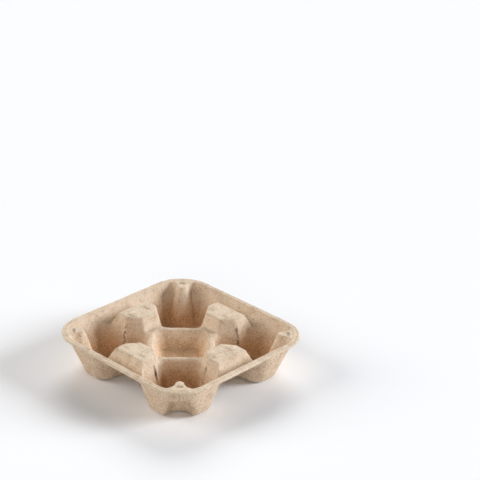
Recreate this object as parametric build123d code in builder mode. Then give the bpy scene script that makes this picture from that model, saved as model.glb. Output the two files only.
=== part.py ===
from build123d import *
import os
from math import sqrt

# A tray moulded in paper pulp that carries four cups: one wall of even thickness,
# drawn down into four pockets and a middle well, and up into four hollow towers.
# Lengths are in mm. The feet stand on z = 0 and the middle is on the origin.
# Each shape is drawn once: with grow = 0 it is the upper face of the pulp, and
# with grow = wall it is the under face.

# Whole tray
tray_width = 215.0
wall = 2.0

# Rolled rim
rim_height = 47.8             # feet to the crown of the rim
rim_width = 7.4
rim_depth = 3.5               # crown to the lower edge of the lip
rim_corner_radius = 42.0
rim_outer_rounding = 2.8
rim_inner_rounding = 2.2

# Towers between the pockets
tower_rise = 1.2              # tower tops above the rim
tower_inner = 51.5            # middle of the tray to the inner edge of a tower top
tower_outer_gap = 27.5        # outer edge of a tower top to the side of the tray
tower_inner_spread = 0.105    # how far the inner face comes in, as a share of tower_inner
tower_edge_rounding = 2.4
tower_inner_rounding = 3.5
shoulder_drop = 7.5           # tower top to the crease across the outer face
shoulder_spread = 4.0
skirt_spread = 3.5            # from the crease to the bottom of the valley
pad_length = 0.456            # share of the length of a tower top
pad_width = 10.0
pad_rise = 1.0
pad_taper = 35.0
pad_corner_radius = 4.0
pad_spacing = 25.0

# Web and middle well
web_drop = 16.0               # tower tops down to the web
ridge_width = 6.0             # web left between the well and a pocket
ridge_rounding = 2.2
well_depth = 19.0
well_draft = 9.5              # how much smaller the well is at its floor
well_corner_radius = 10.0
well_floor_rounding = 5.0
valley_rounding = 1.2
saddle_rounding = 2.0

# Cup pockets, from the floor to the tower tops
foot_inset = 21.5             # side of the tray to the wall at the pocket floor
foot_corner_radius = 33.0
chord_floor = 0.858           # near side of a pocket, these four as shares of tower_inner
chord_top = 0.672
chord_half_floor = 0.301
chord_half_top = 0.5146
chord_corner_radius = 8.0
flank_floor = 34.0            # half width of the tower at its fold
flank_top = 22.3
fold_share = 0.51             # where the fold stands along the tower top
fold_lean = 4.2
fold_radius = 5.0
flap_floor = 37.5
flap_top = 20.0
flap_radius_floor = 13.0
flap_radius_top = 26.0
pocket_floor_rounding = 6.0

# Fluted rib in each outer corner, ending in a nub level with the rim
rib_foot_inset = 23.4         # corner of the rim to the middle of the rib
rib_foot_radius = 16.2
rib_neck_inset = 20.5
rib_neck_radius = 9.3
rib_neck_height = 29.0
rib_flare = 3.0               # rib into the pocket floor
flute_rounding = 5.0          # upper end of the flute
flute_edge_rounding = 4.0     # flute into the outer wall and under the foot
nub_drop = 0.5                # nub below the crown of the rim
nub_inset = 20.6
nub_radius = 4.5
nub_root_inset = 10.0
nub_flare = 16.5
nub_thickness = 2.8
dimple_place = 7.0            # from the middle of the nub towards the rim
dimple_length = 8.0
dimple_width = 3.6
dimple_depth = 1.0

# Slits along the folds and the seam outside each corner
slit_top_drop = 9.0           # tower top to the upper end of a slit
slit_height = 27.0
slit_width_top = 0.8
slit_width_bottom = 3.0
seam_length = 13.0
seam_width = 1.0
seam_depth = 0.8
seam_hole_radius = 0.9

# Levels and lines that follow from the sizes
tower_top = rim_height + tower_rise
web_top = tower_top - web_drop
well_floor = web_top - well_depth
floor_top = wall
land_height = rim_height - 1.5
above = tower_top + 6
half_width = tray_width / 2
rim_inner = half_width - rim_width
foot_side = half_width - foot_inset
tower_outer = half_width - tower_outer_gap
rim_corner = (half_width - rim_corner_radius) * sqrt(2) + rim_corner_radius
side_slope = (rim_inner - foot_side) / (land_height - floor_top)
valley_slope = 2 * side_slope
nub_top = rim_height - nub_drop
nub_middle = rim_corner - nub_inset
nub_root = rim_corner - nub_root_inset


def blend(floor_value, top_value, height):
    share = (height - floor_top) / (tower_top - floor_top)
    return floor_value + (top_value - floor_value) * share


def fold_point(height):
    lean = blend(fold_lean, 0, height)
    x = tower_inner + (tower_outer - tower_inner) * fold_share - lean
    return x, blend(flank_floor, flank_top, height)


def chord_distance(height):
    return tower_inner * blend(chord_floor, chord_top, height)


def pocket_corners(height):
    side = foot_side + (height - floor_top) * side_slope
    chord = chord_distance(height)
    half = tower_inner * blend(chord_half_floor, chord_half_top, height)
    near = ((chord + half) / sqrt(2), (chord - half) / sqrt(2))
    fold = fold_point(height)
    flap = blend(flap_floor, flap_top, height)
    points = [near, fold, (side, flap), (side, side)]
    points += [(flap, side), fold[::-1], near[::-1]]
    # the roundings along the outer wall share its length
    length = side - flap
    room = min(0.45 * length, 0.64 * (side - fold[0]))
    flap_radius = min(blend(flap_radius_floor, flap_radius_top, height), room)
    mouth_radius = rim_corner_radius - rim_width
    corner_radius = blend(foot_corner_radius, mouth_radius, height)
    corner_radius = min(corner_radius, 0.95 * (length - 1.07 * flap_radius))
    radii = [chord_corner_radius, fold_radius, flap_radius, corner_radius]
    radii += [flap_radius, fold_radius, chord_corner_radius]
    return points, radii


def rib_section(height, middle, radius, root, spread):
    # a round nose towards the cup, flaring back into the corner wall
    waist = (middle + 0.55 * (root - middle), radius + 0.22 * (spread - radius))
    with BuildSketch(Plane.XY.offset(height).rotated((0, 0, 45))) as section:
        with BuildLine():
            ThreePointArc((middle, radius), (middle - radius, 0), (middle, -radius))
            ThreePointArc((middle, radius), waist, (root, spread))
            ThreePointArc((middle, -radius), (waist[0], -waist[1]), (root, -spread))
            Polyline((root, spread), (rim_corner - 4, spread),
                     (rim_corner - 4, -spread), (root, -spread))
        make_face()
    return section.sketch


def rib_size(height):
    share = height / rib_neck_height
    inset = rib_foot_inset + (rib_neck_inset - rib_foot_inset) * share
    radius = rib_foot_radius + (rib_neck_radius - rib_foot_radius) * share
    return rim_corner - inset, radius


def corner_rib():
    # flared into the pocket floor in three steps, then a plain taper
    steps = ((-3, rib_flare), (0, rib_flare), (0.3 * rib_flare, 0.29 * rib_flare), (rib_flare, 0))
    levels = [(floor_top + rise, out) for rise, out in steps] + [(rib_neck_height, 0)]
    with BuildPart() as rib:
        for height, out in levels:
            middle, radius = rib_size(height)
            radius = radius + out + wall
            root = middle + 0.4 * radius
            add(rib_section(height, middle, radius, root, radius + 2))
        add(rib_section(nub_top, nub_middle, nub_radius, nub_root, nub_flare))
        loft(ruled=True)
    return rib.part


def corner_flute():
    with BuildPart() as flute:
        for height in (-3, rib_neck_height):
            middle, radius = rib_size(height)
            with BuildSketch(Plane.XY.offset(height).rotated((0, 0, 45))):
                with Locations((middle, 0)):
                    Circle(radius)
        loft(ruled=True)
        fillet(flute.faces().sort_by(Axis.Z)[-1].edges(), flute_rounding)
    return flute.part


def pocket(grow):
    with BuildPart() as hollow:
        for height, drop in ((floor_top, grow), (above, 0)):
            points, radii = pocket_corners(height)
            with BuildSketch(Plane.XY.offset(height - drop)):
                with BuildLine():
                    FilletPolyline(*points, radius=radii, close=True)
                make_face()
                if grow:
                    offset(amount=grow, kind=Kind.ARC)
        loft(ruled=True)
        floor_edges = hollow.faces().sort_by(Axis.Z)[0].edges()
        fillet(floor_edges, pocket_floor_rounding + grow)
        add(corner_flute() if grow else corner_rib(), mode=Mode.SUBTRACT)
        if grow:
            fillet(hollow.edges(Select.NEW), flute_edge_rounding)
    return hollow.part


def well(grow):
    mouth_half = chord_distance(web_top) - ridge_width
    draft = well_draft / well_depth
    with BuildPart() as hollow:
        for height, drop in ((well_floor, grow), (web_top + 4, 0)):
            half = mouth_half - (web_top - height) * draft + grow
            with BuildSketch(Plane.XY.offset(height - drop)):
                RectangleRounded(2 * half, 2 * half, well_corner_radius + grow, rotation=45)
        loft(ruled=True)
        fillet(hollow.faces().sort_by(Axis.Z)[0].edges(), well_floor_rounding + grow)
    return hollow.part


def saddle(grow):
    slope = tower_inner * tower_inner_spread / web_drop
    with BuildPart() as hollow:
        for height, drop in ((web_top, grow), (above, 0)):
            side = 2 * (tower_inner - (tower_top - height) * slope + grow)
            with BuildSketch(Plane.XY.offset(height - drop)):
                Rectangle(side, side)
        loft(ruled=True)
        fillet(hollow.faces().sort_by(Axis.Z)[0].edges(), saddle_rounding + grow)
    return hollow.part


def valley(grow):
    # the trench between the outer face of a tower and the side of the tray
    crease = (tower_outer + shoulder_spread, tower_top - shoulder_drop)
    inner_foot = (crease[0] + skirt_spread, web_top)
    outer_foot = (rim_inner - (land_height - web_top) * valley_slope, web_top)
    outer_top = (rim_inner + (above - land_height) * valley_slope, above)
    lean = shoulder_spread / shoulder_drop
    inner_top = (tower_outer - (above - tower_top) * lean, above)
    room = 0.4 * (outer_foot[0] - inner_foot[0])
    foot = min(valley_rounding, room)
    with BuildPart() as hollow:
        with BuildSketch(Plane.XZ):
            with BuildLine():
                corners = [inner_top, crease, inner_foot, outer_foot, outer_top]
                FilletPolyline(*corners, radius=[0, 3, foot, foot, 0], close=True)
            make_face()
            if grow:
                offset(amount=grow, kind=Kind.INTERSECTION)
        extrude(amount=half_width - rim_corner_radius, both=True)
    return hollow.part


def sideways(edge):
    middle = edge.center()
    return max(abs(middle.X), abs(middle.Y))


def rises_on_tower(edge):
    box = edge.bounding_box()
    above_web = box.min.Z > web_top + 0.1 and box.size.Z > 3
    return above_web and sideways(edge) < tower_outer + shoulder_spread + skirt_spread


def form(grow):
    spread = 12 if grow else 0
    with BuildPart() as block:
        with BuildSketch(Plane.XY.offset(-8)):
            width = tray_width + spread
            RectangleRounded(width, width, rim_corner_radius)
        extrude(amount=8 + tower_top - grow)
        with BuildSketch(Plane.XY.offset(land_height - grow)):
            Rectangle(tray_width + 20, tray_width + 20)
            towers = rim_inner + tower_outer
            Rectangle(towers, towers, mode=Mode.SUBTRACT)
        extrude(amount=20, mode=Mode.SUBTRACT)
        add(well(grow), mode=Mode.SUBTRACT)
        add(saddle(grow), mode=Mode.SUBTRACT)
        with PolarLocations(0, 4):
            add(pocket(grow), mode=Mode.SUBTRACT)
            add(valley(grow), mode=Mode.SUBTRACT)
        if not grow:
            rising = block.edges().filter_by(rises_on_tower)
            inner = rising.filter_by(lambda edge: sideways(edge) < tower_inner)
            fillet(inner, tower_inner_rounding)
            tops = block.edges().filter_by_position(Axis.Z, tower_top - 0.01, tower_top + 0.01)
            fillet(tops, tower_edge_rounding)
            reach = tower_inner * (1 - tower_inner_spread)
            ridges = block.edges().filter_by_position(Axis.Z, web_top - 0.01, web_top + 0.01)
            ridges = ridges.filter_by_position(Axis.X, -reach, reach)
            ridges = ridges.filter_by_position(Axis.Y, -reach, reach)
            straight = ridges.filter_by(Axis.X) + ridges.filter_by(Axis.Y)
            fillet([edge for edge in ridges if edge not in straight], ridge_rounding)
    return block.part


with BuildPart() as rim:
    with BuildSketch(Plane.XY.offset(rim_height - rim_depth)):
        RectangleRounded(tray_width, tray_width, rim_corner_radius)
        inside = tray_width - 2 * rim_width - 0.4
        RectangleRounded(inside, inside, rim_corner_radius - rim_width, mode=Mode.SUBTRACT)
    extrude(amount=rim_depth)
    crown = rim.faces().sort_by(Axis.Z)[-1]
    fillet(crown.outer_wire().edges(), rim_outer_rounding)
    fillet(rim.faces().sort_by(Axis.Z)[-1].inner_wires()[0].edges(), rim_inner_rounding)

with BuildPart() as nub:
    add(rib_section(nub_top, nub_middle, nub_radius, nub_root, nub_flare))
    extrude(amount=-nub_thickness)

with BuildPart() as dimple:
    with BuildSketch(Plane.XY.offset(nub_top).rotated((0, 0, 45))):
        with Locations((nub_middle + dimple_place, 0)):
            SlotOverall(dimple_length, dimple_width, rotation=90)
    extrude(amount=dimple_depth, both=True)

with BuildPart() as pads:
    with BuildSketch(Plane.XY.offset(tower_top - 1)):
        with Locations((tower_inner + (tower_outer - tower_inner) * fold_share, 0)):
            with GridLocations(0, pad_spacing, 1, 2):
                length = pad_length * (tower_outer - tower_inner)
                RectangleRounded(length + 1, pad_width + 1, min(pad_corner_radius, 0.4 * length))
    extrude(amount=1 + pad_rise, taper=pad_taper)

with BuildPart() as slits:
    slit_top = tower_top - slit_top_drop
    slit_ends = ((slit_top - slit_height, slit_width_bottom), (slit_top, slit_width_top))
    for height, width in slit_ends:
        with BuildSketch(Plane.XY.offset(height)):
            with Locations(fold_point(height)):
                Rectangle(width, 4 * wall, rotation=20)
    loft(ruled=True)
    mirror(about=Plane.XZ)

with BuildPart() as seam:
    # set on the slope of the outer wall, at the corner
    seam_middle = rib_neck_height + 1.5 + seam_length / 2
    reach = (foot_side - foot_corner_radius) * sqrt(2) + foot_corner_radius + wall
    mouth_reach = rim_corner - rim_width
    corner_slope = (mouth_reach - reach + wall) / (land_height - floor_top)
    place = (reach + corner_slope * (seam_middle - floor_top)) / sqrt(2)
    level = Plane(origin=(place, place, seam_middle), x_dir=(-1, 1, 0),
                  z_dir=(1 / sqrt(2), 1 / sqrt(2), -corner_slope))
    with BuildSketch(level):
        SlotOverall(seam_length, seam_width, rotation=90)
        with GridLocations(0, seam_length, 1, 2):
            Circle(seam_hole_radius)
    extrude(amount=-seam_depth, both=True)

upper = form(0)
under = form(wall)

with BuildPart() as cup_carrier_tray:
    add(upper)
    add(under, mode=Mode.SUBTRACT)
    add(rim.part)
    with PolarLocations(0, 4):
        add(nub.part)
        add(pads.part)
        add(dimple.part, mode=Mode.SUBTRACT)
        add(slits.part, mode=Mode.SUBTRACT)
        add(seam.part, mode=Mode.SUBTRACT)

cup_carrier_tray.part.label = "cup_carrier_tray"
os.makedirs("parts", exist_ok=True)
export_step(cup_carrier_tray.part, "parts/cup_carrier_tray.step")
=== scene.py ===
import bpy
import bmesh
import math
import random
from mathutils import Matrix, Vector, noise


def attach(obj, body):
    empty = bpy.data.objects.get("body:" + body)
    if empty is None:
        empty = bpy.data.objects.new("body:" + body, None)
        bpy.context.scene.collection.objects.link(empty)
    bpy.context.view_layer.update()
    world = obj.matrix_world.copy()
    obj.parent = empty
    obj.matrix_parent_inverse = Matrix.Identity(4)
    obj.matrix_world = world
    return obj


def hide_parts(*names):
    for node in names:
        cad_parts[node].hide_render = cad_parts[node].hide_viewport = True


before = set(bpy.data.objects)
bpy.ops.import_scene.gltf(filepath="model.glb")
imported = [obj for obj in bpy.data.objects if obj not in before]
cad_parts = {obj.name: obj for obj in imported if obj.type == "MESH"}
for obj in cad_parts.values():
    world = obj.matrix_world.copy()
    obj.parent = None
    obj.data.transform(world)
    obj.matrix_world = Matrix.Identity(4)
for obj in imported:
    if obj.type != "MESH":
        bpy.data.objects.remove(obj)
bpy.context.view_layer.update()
scene = bpy.context.scene
print("frame loaded:", ", ".join(sorted(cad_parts)))


# shader helpers

class Socket:
    # wraps a node output, so that plain arithmetic adds the Math nodes
    def __init__(self, tree, link):
        self.tree = tree
        self.link = link

    def math(self, operation, first, second=None):
        values = {0: first} if second is None else {0: first, 1: second}
        return self.tree.add("ShaderNodeMath", {"operation": operation}, values)

    def __add__(self, other):
        return self.math("ADD", self, other)

    def __radd__(self, other):
        return self.math("ADD", other, self)

    def __sub__(self, other):
        return self.math("SUBTRACT", self, other)

    def __rsub__(self, other):
        return self.math("SUBTRACT", other, self)

    def __mul__(self, other):
        return self.math("MULTIPLY", self, other)

    def __rmul__(self, other):
        return self.math("MULTIPLY", other, self)

    def __truediv__(self, other):
        return self.math("DIVIDE", self, other)

    def __pow__(self, other):
        return self.math("POWER", self, other)

    def __abs__(self):
        return self.math("ABSOLUTE", self)

    def larger(self, other):
        return self.math("MAXIMUM", self, other)

    def smaller(self, other):
        return self.math("MINIMUM", self, other)

    def above(self, low, high):
        # 0 under low, 1 over high, smooth in the middle
        settings = {"interpolation_type": "SMOOTHSTEP", "clamp": True}
        return self.tree.add("ShaderNodeMapRange", settings, {0: self, 1: low, 2: high})

    def below(self, low, high):
        return 1 - self.above(low, high)


class Shader:
    # owner is a new material or world
    def __init__(self, owner):
        self.owner = owner
        owner.use_nodes = True
        self.tree = owner.node_tree
        self.tree.nodes.clear()

    def add(self, nodeType, settings=None, values=None, output=0):
        node = self.tree.nodes.new(nodeType)
        for name, value in (settings or {}).items():
            if name == "stops":
                self.setStops(node.color_ramp, value)
            else:
                setattr(node, name, value)
        for name, value in (values or {}).items():
            if isinstance(value, Socket):
                self.tree.links.new(value.link, node.inputs[name])
            else:
                node.inputs[name].default_value = value
        return Socket(self, node.outputs[output]) if node.outputs else None

    def setStops(self, ramp, stops):
        while len(ramp.elements) < len(stops):
            ramp.elements.new(0.5)
        for element, (place, colour) in zip(ramp.elements, stops):
            element.position = place
            element.color = (*colour, 1)

    def mix(self, factor, first, second, blend="MIX"):
        # a colour is a socket, or its red, green and blue
        first, second = [colour if isinstance(colour, Socket) else (*colour, 1)
                         for colour in (first, second)]
        settings = {"data_type": "RGBA", "blend_type": blend}
        return self.add("ShaderNodeMix", settings, {0: factor, 6: first, 7: second}, 2)

    def noise(self, place, scale, detail, roughness):
        values = {"Vector": place, "Scale": scale, "Detail": detail, "Roughness": roughness}
        return self.add("ShaderNodeTexNoise", None, values)

    def stretched(self, place, stretch, detail, roughness):
        # noise with a scale of its own along each axis
        settings = {"operation": "MULTIPLY"}
        place = self.add("ShaderNodeVectorMath", settings, {0: place, 1: stretch})
        return self.noise(place, 1, detail, roughness)

    def axes(self, place):
        return [self.add("ShaderNodeSeparateXYZ", None, {0: place}, axis) for axis in "XYZ"]

    def seen(self):
        # 1 for what the camera sees, straight, in gloss or through glass
        straight, gloss, through = [
            self.add("ShaderNodeLightPath", None, None, kind)
            for kind in ("Is Camera Ray", "Is Glossy Ray", "Is Transmission Ray")]
        return straight.larger(gloss.larger(through))

    def finish(self, surface, output="ShaderNodeOutputMaterial"):
        self.add(output, None, {"Surface": surface})
        return self.owner


# slits along the folds where the towers tore away from the pockets

tearSettings = {
    "low": 0.0135,                     # heights of the two ends of a slit
    "high": 0.0400,
    "foldFoot": (0.0618, 0.0340),      # the fold at the pocket floor and at the tower top
    "foldTop": (0.0660, 0.0223),
    "foldLow": 0.002,                  # height of the pocket floor, and of the top above it
    "foldRise": 0.047,
    "lean": 20,                        # of the wall beside the fold, in degrees
    "halfWidth": (0.0015, 0.0004),     # of a slit, at its foot and at its top
    # share of each slit that fibres bridge, for the two sides of each tower
    "closed": ((0.10, 0.45), (0.80, 0.45), (0.45, 0.80), (0.45, 0.00)),
    "shreds": 46,                      # in a slit that is all bridged
    "shredDepth": (-0.0020, -0.0012),  # below the pocket's side of the wall
    "shredTurns": ((0, 0.5), (-0.3, 0.3)),
    "shredRadii": (0.00035, 0.00030, 0.0008),      # the largest shreds are twice this size
    "backing": (0.0034, 0.0007, 0.0168),           # half sizes of the thin skin behind a slit
    "backingDepth": -0.0022,
    "backingTurns": (0.244, 0.089),    # lays it along the fold
    "pull": (0.00010, 0.00160),        # how far the edges have pulled apart, least and most
    "pullReach": 0.0022,
    "pullLimit": 0.006,                # nothing further from the fold moves
    "pullOver": 0.001,                 # how far the tear runs on above the slit
    "pullFade": 0.004,                 # height in which it opens, from either end
    "raggedSize": 0.0024,
    "ragged": (0.5, 0.9),              # middle and swing of the share between least and most
    "gape": (1.4, 0.6),                # an open slit pulls apart more than a bridged one
    "seed": 23,
}


def towerTurn(quarter, size):
    return Matrix.Rotation(math.pi / 2 * quarter, size, "Z")


def foldAt(height, settings):
    foot, top = Vector(settings["foldFoot"]), Vector(settings["foldTop"])
    return foot.lerp(top, (height - settings["foldLow"]) / settings["foldRise"])


def acrossSlit(settings):
    lean = math.radians(settings["lean"])
    return Vector((math.cos(lean), math.sin(lean)))


def addBlob(shape, settings, quarter, side, share, offset, depth, turns, radii, detail=1):
    height = settings["low"] + (settings["high"] - settings["low"]) * share
    across = acrossSlit(settings)
    through = Vector((-across.y, across.x))     # out of the wall, into the pocket
    spot = foldAt(height, settings) + across * offset + through * depth
    matrix = towerTurn(quarter, 4) @ Matrix.Diagonal((1, side, 1, 1))
    matrix = matrix @ Matrix.Translation((spot.x, spot.y, height))
    matrix = matrix @ Matrix.Rotation(turns[0], 4, "X") @ Matrix.Rotation(turns[1], 4, "Y")
    matrix = matrix @ Matrix.Rotation(math.radians(settings["lean"]), 4, "Z")
    matrix = matrix @ Matrix.Diagonal((*radii, 1))
    bmesh.ops.create_icosphere(shape, subdivisions=detail, radius=1, matrix=matrix)


def addShreds(shape, settings):
    chance = random.Random(settings["seed"])
    wide, narrow = settings["halfWidth"]
    for quarter, shares in enumerate(settings["closed"]):
        for side, closed in zip((-1, 1), shares):
            for _ in range(round(settings["shreds"] * closed)):
                share = chance.random()
                offset = chance.uniform(-1, 1) * (wide + (narrow - wide) * share)
                depth = chance.uniform(*settings["shredDepth"])
                turns = [chance.uniform(*limits) for limits in settings["shredTurns"]]
                radii = [chance.uniform(least, least * 2) for least in settings["shredRadii"]]
                addBlob(shape, settings, quarter, side, share, offset, depth, turns, radii)
            addBlob(shape, settings, quarter, side, 0.5, 0, settings["backingDepth"],
                    settings["backingTurns"], settings["backing"], 2)
    bmesh.ops.recalc_face_normals(shape, faces=shape.faces)


def pulledApart(place, settings):
    # moves a point beside a slit away from it, further where the tear is ragged
    rise = min(place.z - settings["low"], settings["high"] + settings["pullOver"] - place.z)
    if rise < 0:
        return Vector()
    quarter = round(math.atan2(place.y, place.x) / (math.pi / 2)) % 4
    turn = towerTurn(quarter, 3)
    local = turn.transposed() @ place
    side = 1 if local.y > 0 else -1
    offset = Vector((local.x, local.y * side)) - foldAt(place.z, settings)
    if offset.length > settings["pullLimit"]:
        return Vector()
    across = acrossSlit(settings)
    aside = offset.dot(across)
    least, most = settings["pull"]
    middle, swing = settings["ragged"]
    ragged = middle + swing * noise.noise(place / settings["raggedSize"])
    widest, narrowed = settings["gape"]
    gape = widest - narrowed * settings["closed"][quarter][side > 0]
    fade = math.exp(-(aside / settings["pullReach"]) ** 2)
    amount = (least + (most - least) * ragged) * gape * fade * min(1, rise / settings["pullFade"])
    move = across * math.copysign(amount, aside)
    return turn @ Vector((move.x, move.y * side, 0))


# moulded skin of the tray

skinSettings = {
    "weld": 0.000005,
    "voxel": 0.00075,          # the CAD wall is 2 mm
    "smoothing": 2,
    "smoothFactor": 0.5,
    "lumpSize": 0.009,         # slow unevenness of the drawn wall
    "lumpHeight": 0.00022,
    "grainSize": 0.0021,       # felted clumps of fibre
    "grainHeight": 0.00010,
    "grainShift": (7, 3, 5),
    "underGrain": 0.00022,     # the side that lay on the screen is rougher
    "underSlope": -0.02,       # a normal lower than this is on that side
    "rimHalf": 0.1075,
    "rimRadius": 0.042,
    "lipWidth": 0.002,         # torn outer lip of the rim
    "lipRagged": 0.00055,
    "lipSize": 0.0034,
    "lipShift": (2, 9, 4),
    "beadPlace": 0.0034,       # crease that sets off the outer bead, on top of the rim
    "beadWidth": 0.0010,
    "beadDepth": 0.00090,
    "beadSlope": 0.4,
    "beadHeight": 0.0455,
    "triangles": 190000,
}


def evaluatedMesh(piece):
    graph = bpy.context.evaluated_depsgraph_get()
    mesh = bpy.data.meshes.new_from_object(piece.evaluated_get(graph))
    piece.modifiers.clear()
    piece.data = mesh
    return mesh


def weldedCopy(node, name):
    mesh = node.data.copy()
    welded = bmesh.new()
    welded.from_mesh(mesh)
    bmesh.ops.remove_doubles(welded, verts=welded.verts, dist=skinSettings["weld"])
    addShreds(welded, tearSettings)
    welded.to_mesh(mesh)
    welded.free()
    mesh.materials.clear()
    piece = bpy.data.objects.new(name, mesh)
    scene.collection.objects.link(piece)
    return piece


def insetFromEdge(place, settings):
    # distance inwards from the outer edge of the rim
    half, radius = settings["rimHalf"], settings["rimRadius"]
    outside = Vector((abs(place.x) - half + radius, abs(place.y) - half + radius))
    beyond = Vector((max(outside.x, 0), max(outside.y, 0))).length
    return radius - beyond - min(max(outside.x, outside.y), 0)


def roughen(mesh, settings):
    # all the moves are worked out first, because a moved vertex makes Blender redo the normals
    grainShift, lipShift = Vector(settings["grainShift"]), Vector(settings["lipShift"])
    lipWidth = settings["lipWidth"]
    moved = []
    for vertex in mesh.vertices:
        place, slope = vertex.co, vertex.normal.z
        lump = noise.noise(place / settings["lumpSize"])
        grain = noise.noise(place / settings["grainSize"] + grainShift)
        inset = insetFromEdge(place, settings)
        lip = min(1, max(0, (lipWidth - inset) / lipWidth))
        ragged = noise.noise(place / settings["lipSize"] + lipShift)
        rough = settings["grainHeight" if slope > settings["underSlope"] else "underGrain"]
        out = lump * settings["lumpHeight"] + grain * rough
        out = out - abs(ragged) * lip * settings["lipRagged"]
        if slope > settings["beadSlope"] and place.z > settings["beadHeight"]:
            across = (inset - settings["beadPlace"]) / settings["beadWidth"]
            out = out - settings["beadDepth"] * math.exp(-across * across)
        moved.extend(place + vertex.normal * out + pulledApart(place, tearSettings))
    mesh.vertices.foreach_set("co", moved)
    mesh.update()


def makeSkin(node, settings):
    skin = weldedCopy(node, "pulp_tray_skin")
    remesh = skin.modifiers.new("remesh", "REMESH")
    remesh.mode = "VOXEL"
    remesh.voxel_size = settings["voxel"]
    smooth = skin.modifiers.new("smooth", "SMOOTH")
    smooth.factor = settings["smoothFactor"]
    smooth.iterations = settings["smoothing"]
    roughen(evaluatedMesh(skin), settings)
    faces = 2 * len(skin.data.polygons)
    decimate = skin.modifiers.new("decimate", "DECIMATE")
    decimate.ratio = min(1, settings["triangles"] / faces)
    mesh = evaluatedMesh(skin)
    mesh.shade_smooth()
    print("skin:", faces, "triangles thinned to", len(mesh.polygons))
    return skin


skin = makeSkin(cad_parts["cup_carrier_tray"], skinSettings)


# pulp

pulpSettings = {
    "light": (0.815, 0.670, 0.515),
    "middle": (0.715, 0.560, 0.405),
    "dark": (0.430, 0.295, 0.180),
    "speck": (0.150, 0.095, 0.058),
    "hollow": (0.94, 0.75, 0.58),      # painted shade: darker and browner deep in the pockets and the well
    "screen": (0.99, 0.95, 0.93),      # side that lay on the screen
    # torn fibre, also used as painted shade in the cracks and in the nub dimples
    "tornAndShaded": (0.170, 0.105, 0.062),
    # painted shade, near black, inside the widest open slit
    "gapShade": (0.040, 0.025, 0.016),
    "roughness": 0.88,
    "gloss": 0.25,
    "bump": (0.75, 0.0006),            # strength and distance
    # noises, each with its scale, detail and roughness
    "patches": (95, 3, 0.55),
    "mottle": (430, 5, 0.78),
    "speckle": (1150, 3, 0.70),
    "fine": (2300, 2, 0.6),
    "pores": (600, 3, 0.65),
    "specks": (480, 1, 0.4),
    "fray": (260, 3, 0.7),
    # stretched noises: the fibres lie in the sheet in all directions, so three of them cross
    "fibres": ((2600, 300, 800), (300, 2600, 800), (800, 600, 2600)),
    "fibreNoise": (2, 0.6),
    "drags": ((760, 760, 230), 2, 0.65),         # where the screen side slid off the mould
    # shares of patches, mottle and speckle in the tone, and the tones of the three colours
    "toneShares": (0.24, 0.34, 0.42),
    "tones": (0.38, 0.48, 0.56),
    "bumpShares": (0.5, 0.5, 0.25, 0.35),        # of mottle, speckle, fine and fibres
    # the soft edge that cuts each mark out of its noise, and how strong it is
    "fibreEdge": (0.60, 0.72),
    "fibreStrength": 0.40,
    "poreEdge": (0.51, 0.61),
    "poreStrength": (0.48, 0.60, 0.08),          # on the screen side, in the hollows, everywhere
    "dragEdge": (0.56, 0.65),
    "dragStrength": 0.50,
    "speckEdge": (0.70, 0.76),
    "speckStrength": 0.55,
}

# where the marks on the pulp lie, in metres; each pair is the start and the end of a soft edge
markSettings = {
    "upper": (-0.10, 0.12),            # slope of the side that faces up
    # heights over which the painted shade of the pockets and the well fades out
    "hollow": (0.008, 0.038),
    "tearReach": (-0.0002, 0.0024),
    "tearFoot": (0.012, 0.020),
    "tearTop": (0.035, 0.043),
    "tearFray": 0.011,
    "tearStrength": 0.85,
    "gapShadeReach": (0.0014, 0.0030),
    "gapShadeFoot": (0.018, 0.026),
    "gapShadeTop": (0.030, 0.037),
    "gapShadeSide": (0.0, 0.001),
    "gapShadeStrength": 0.92,
    "diagonal": 0.7071,                # share of each axis in a step along the diagonal
    # where the painted shade of each nub's dimple lies
    "dimplePlace": 0.1210,             # along the diagonal, in the middle of each nub
    "dimpleLength": (0.0010, 0.0028),
    "dimpleWidth": (0.0040, 0.0066),
    "dimpleFoot": (0.042, 0.044),
    "dimpleShadeStrength": 0.42,
    "seamWidth": (0.0006, 0.0014),
    "seamFoot": (0.029, 0.031),
    "seamTop": (0.042, 0.044),
    "seamBreaks": (0.40, 0.60),
    "seamStrength": 0.55,
}


def paintTears(pulp, colour, place, settings, marks):
    # torn fibre along the slits is browner than the skin, and its dark line also stands for the
    # shade in the crack, as painted shade; the widest tear is painted black inside, as painted
    # shade
    x, y, z = pulp.axes(place)
    sideways, endways = abs(x), abs(y)
    far, near = sideways.larger(endways), sideways.smaller(endways)
    rise = (z - tearSettings["foldLow"]) / tearSettings["foldRise"]
    footFar, footNear = tearSettings["foldFoot"]
    topFar, topNear = tearSettings["foldTop"]
    aside = far - (rise * (topFar - footFar) + footFar)
    along = near - (footNear - rise * (footNear - topNear))
    away = (aside * aside + along * along) ** 0.5
    gapShade = away.below(*marks["gapShadeReach"]) * z.above(*marks["gapShadeFoot"]) * z.below(*marks["gapShadeTop"])
    # the painted shade goes only in the widest tear, the one at the front left
    gapShade = gapShade * x.above(*marks["gapShadeSide"]) * (0 - x - y).above(*marks["gapShadeSide"])
    away = away + (pulp.noise(place, *settings["fray"]) - 0.5) * marks["tearFray"]
    # browner torn fibre along the cracks, partly painted shade of the crack
    tornAndShaded = away.below(*marks["tearReach"]) * z.above(*marks["tearFoot"])
    tornAndShaded = tornAndShaded * z.below(*marks["tearTop"]) * marks["tearStrength"]
    colour = pulp.mix(tornAndShaded, colour, settings["tornAndShaded"])
    # painted shade inside the open slit
    return pulp.mix(gapShade * marks["gapShadeStrength"], colour, settings["gapShade"])


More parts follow.
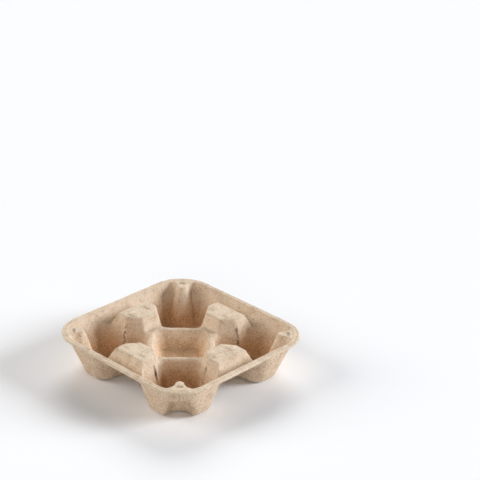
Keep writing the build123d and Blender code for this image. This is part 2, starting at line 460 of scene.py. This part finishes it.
def paintCorners(pulp, colour, place, upper, speckle, settings, marks):
    x, y, z = pulp.axes(place)
    sideways, endways = abs(x), abs(y)
    lateral = abs(sideways - endways)
    # the dimple on each nub, its hollow painted darker as painted shade
    diagonal = abs((sideways + endways) * marks["diagonal"] - marks["dimplePlace"])
    dimpleShade = diagonal.below(*marks["dimpleLength"]) * lateral.below(*marks["dimpleWidth"])
    dimpleShade = dimpleShade * z.above(*marks["dimpleFoot"]) * upper * marks["dimpleShadeStrength"]
    colour = pulp.mix(dimpleShade, colour, settings["tornAndShaded"])
    # seam of the mould outside each corner
    seam = lateral.below(*marks["seamWidth"]) * z.above(*marks["seamFoot"])
    seam = seam * z.below(*marks["seamTop"]) * (1 - upper)
    seam = seam * speckle.above(*marks["seamBreaks"]) * marks["seamStrength"]
    return pulp.mix(seam, colour, settings["speck"])


def makePulp(settings, marks):
    pulp = Shader(bpy.data.materials.new("moulded_pulp"))
    light, middle, dark = settings["light"], settings["middle"], settings["dark"]
    place = pulp.add("ShaderNodeTexCoord", None, None, "Object")
    slope = pulp.axes(pulp.add("ShaderNodeTexCoord", None, None, "Normal"))[2]
    upper = slope.above(*marks["upper"])
    under = 1 - upper
    # painted shade mask: low pulp that faces up, in the pockets and the well; the pores also
    # gather there
    hollow = upper * pulp.axes(place)[2].below(*marks["hollow"])
    patches, mottle, speckle, fine, pores, specks = [
        pulp.noise(place, *settings[name])
        for name in ("patches", "mottle", "speckle", "fine", "pores", "specks")]
    first, second, third = [pulp.stretched(place, stretch, *settings["fibreNoise"])
                            for stretch in settings["fibres"]]
    fibres = first.larger(second).larger(third)
    layers = zip((patches, mottle, speckle), settings["toneShares"])
    tone = sum(layer * share for layer, share in layers)
    ramp = list(zip(settings["tones"], (dark, middle, light)))
    colour = pulp.add("ShaderNodeValToRGB", {"stops": ramp}, {0: tone})
    pale = fibres.above(*settings["fibreEdge"]) * settings["fibreStrength"]
    colour = pulp.mix(pale, colour, light)
    onUnder, inHollow, everywhere = settings["poreStrength"]
    pores = pores.above(*settings["poreEdge"])
    pores = pores * (under * onUnder + hollow * inHollow + everywhere)
    colour = pulp.mix(pores, colour, dark)
    drags = pulp.stretched(place, *settings["drags"]).above(*settings["dragEdge"])
    colour = pulp.mix(drags * under * settings["dragStrength"], colour, dark)
    specks = specks.above(*settings["speckEdge"]) * settings["speckStrength"]
    colour = pulp.mix(specks, colour, settings["speck"])
    # painted shade, multiplied in deep in the pockets and the well
    colour = pulp.mix(hollow, colour, settings["hollow"], "MULTIPLY")
    colour = pulp.mix(under, colour, settings["screen"], "MULTIPLY")
    colour = paintTears(pulp, colour, place, settings, marks)
    colour = paintCorners(pulp, colour, place, upper, speckle, settings, marks)
    layers = zip((mottle, speckle, fine, fibres), settings["bumpShares"])
    height = sum(layer * share for layer, share in layers)
    strength, distance = settings["bump"]
    values = {"Strength": strength, "Distance": distance, "Height": height}
    surface = pulp.add("ShaderNodeBsdfPrincipled", None, {
        "Base Color": colour,
        "Roughness": settings["roughness"],
        "Specular IOR Level": settings["gloss"],
        "Normal": pulp.add("ShaderNodeBump", None, values),
    })
    return pulp.finish(surface)


skin.data.materials.append(makePulp(pulpSettings, markSettings))
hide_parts("cup_carrier_tray")
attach(skin, "root")
print("pulp laid on the skin")


# camera, at the height and turn of the photograph

cameraSettings = {
    "place": (1.16407, -1.15323, 0.94532),
    "right": (0.7203514, 0.6929484, 0.0302713),
    "up": (-0.3181488, 0.2913189, 0.9021722),
    "lens": 123.7,
    "sensor": 36,
    "clip": (0.1, 50),
}


def makeCamera(settings):
    lens = bpy.data.cameras.new("camera")
    lens.lens = settings["lens"]
    lens.sensor_width = settings["sensor"]
    lens.clip_start, lens.clip_end = settings["clip"]
    camera = bpy.data.objects.new("camera", lens)
    right, up = Vector(settings["right"]), Vector(settings["up"])
    turn = Matrix((right, up, right.cross(up))).transposed()
    camera.matrix_world = Matrix.Translation(settings["place"]) @ turn.to_4x4()
    scene.collection.objects.link(camera)
    scene.camera = camera


makeCamera(cameraSettings)
scene.view_settings.view_transform = "Standard"
print("camera set")


# studio

studioSettings = {
    "floorColour": (0.96, 0.96, 0.96),
    "floorBounce": (0.88, 0.88, 0.88),   # what it throws back on the tray
    "floorDrop": 0.0004,                 # clear of the roughened soles
    "floorReach": 12.0,
    "worldStrength": 0.06,
    "worldSeen": 0.93,
    # turn to the right of the camera, height and softness in degrees, then strength and colour
    "suns": {
        "right": (92, 22, 26, 0.95, (0.95, 1.00, 1.07)),
        "back": (174, 34, 32, 0.52, (1.00, 1.00, 1.01)),
        "left": (-92, 27, 36, 0.50, (1.02, 1.00, 0.98)),
        "front": (-10, 24, 40, 0.22, (1.01, 1.00, 0.99)),
    },
}


def makeFloor(settings):
    reach, height = settings["floorReach"], -settings["floorDrop"]
    corners = [(x * reach, y * reach, height) for x, y in ((-1, -1), (1, -1), (1, 1), (-1, 1))]
    mesh = bpy.data.meshes.new("floor")
    mesh.from_pydata(corners, [], [(0, 1, 2, 3)])
    floor = bpy.data.objects.new("floor", mesh)
    scene.collection.objects.link(floor)
    paint = Shader(bpy.data.materials.new("floor_paint"))
    colour = paint.mix(paint.seen(), settings["floorBounce"], settings["floorColour"])
    matt = paint.add("ShaderNodeBsdfDiffuse", None, {"Color": colour})
    clear = paint.add("ShaderNodeBsdfTransparent")
    below = paint.add("ShaderNodeNewGeometry", None, None, "Backfacing")     # clear from below
    surface = paint.add("ShaderNodeMixShader", None, {0: below, 1: matt, 2: clear})
    mesh.materials.append(paint.finish(surface))


def makeSun(name, settings):
    turn, height, softness, strength, colour = settings
    toCamera = Vector(cameraSettings["place"]).xy.to_3d().normalized()
    right = Vector(cameraSettings["right"]).xy.to_3d().normalized()
    turn, height = math.radians(turn), math.radians(height)
    source = (toCamera * math.cos(turn) + right * math.sin(turn)) * math.cos(height)
    source.z = math.sin(height)
    lamp = bpy.data.lights.new(name, "SUN")
    lamp.energy = strength * math.pi
    lamp.angle = math.radians(softness)
    lamp.color = colour
    sun = bpy.data.objects.new(name, lamp)
    sun.rotation_mode = "QUATERNION"
    sun.rotation_quaternion = source.to_track_quat("Z", "Y")
    scene.collection.objects.link(sun)


def makeWorld(settings):
    sky = Shader(bpy.data.worlds.new("studio"))
    colour = sky.mix(sky.seen(), [settings["worldStrength"]] * 3, [settings["worldSeen"]] * 3)
    light = sky.add("ShaderNodeBackground", None, {"Color": colour})
    scene.world = sky.finish(light, "ShaderNodeOutputWorld")


makeFloor(studioSettings)
makeWorld(studioSettings)
for name, settings in studioSettings["suns"].items():
    makeSun(name, settings)
print("studio lit")
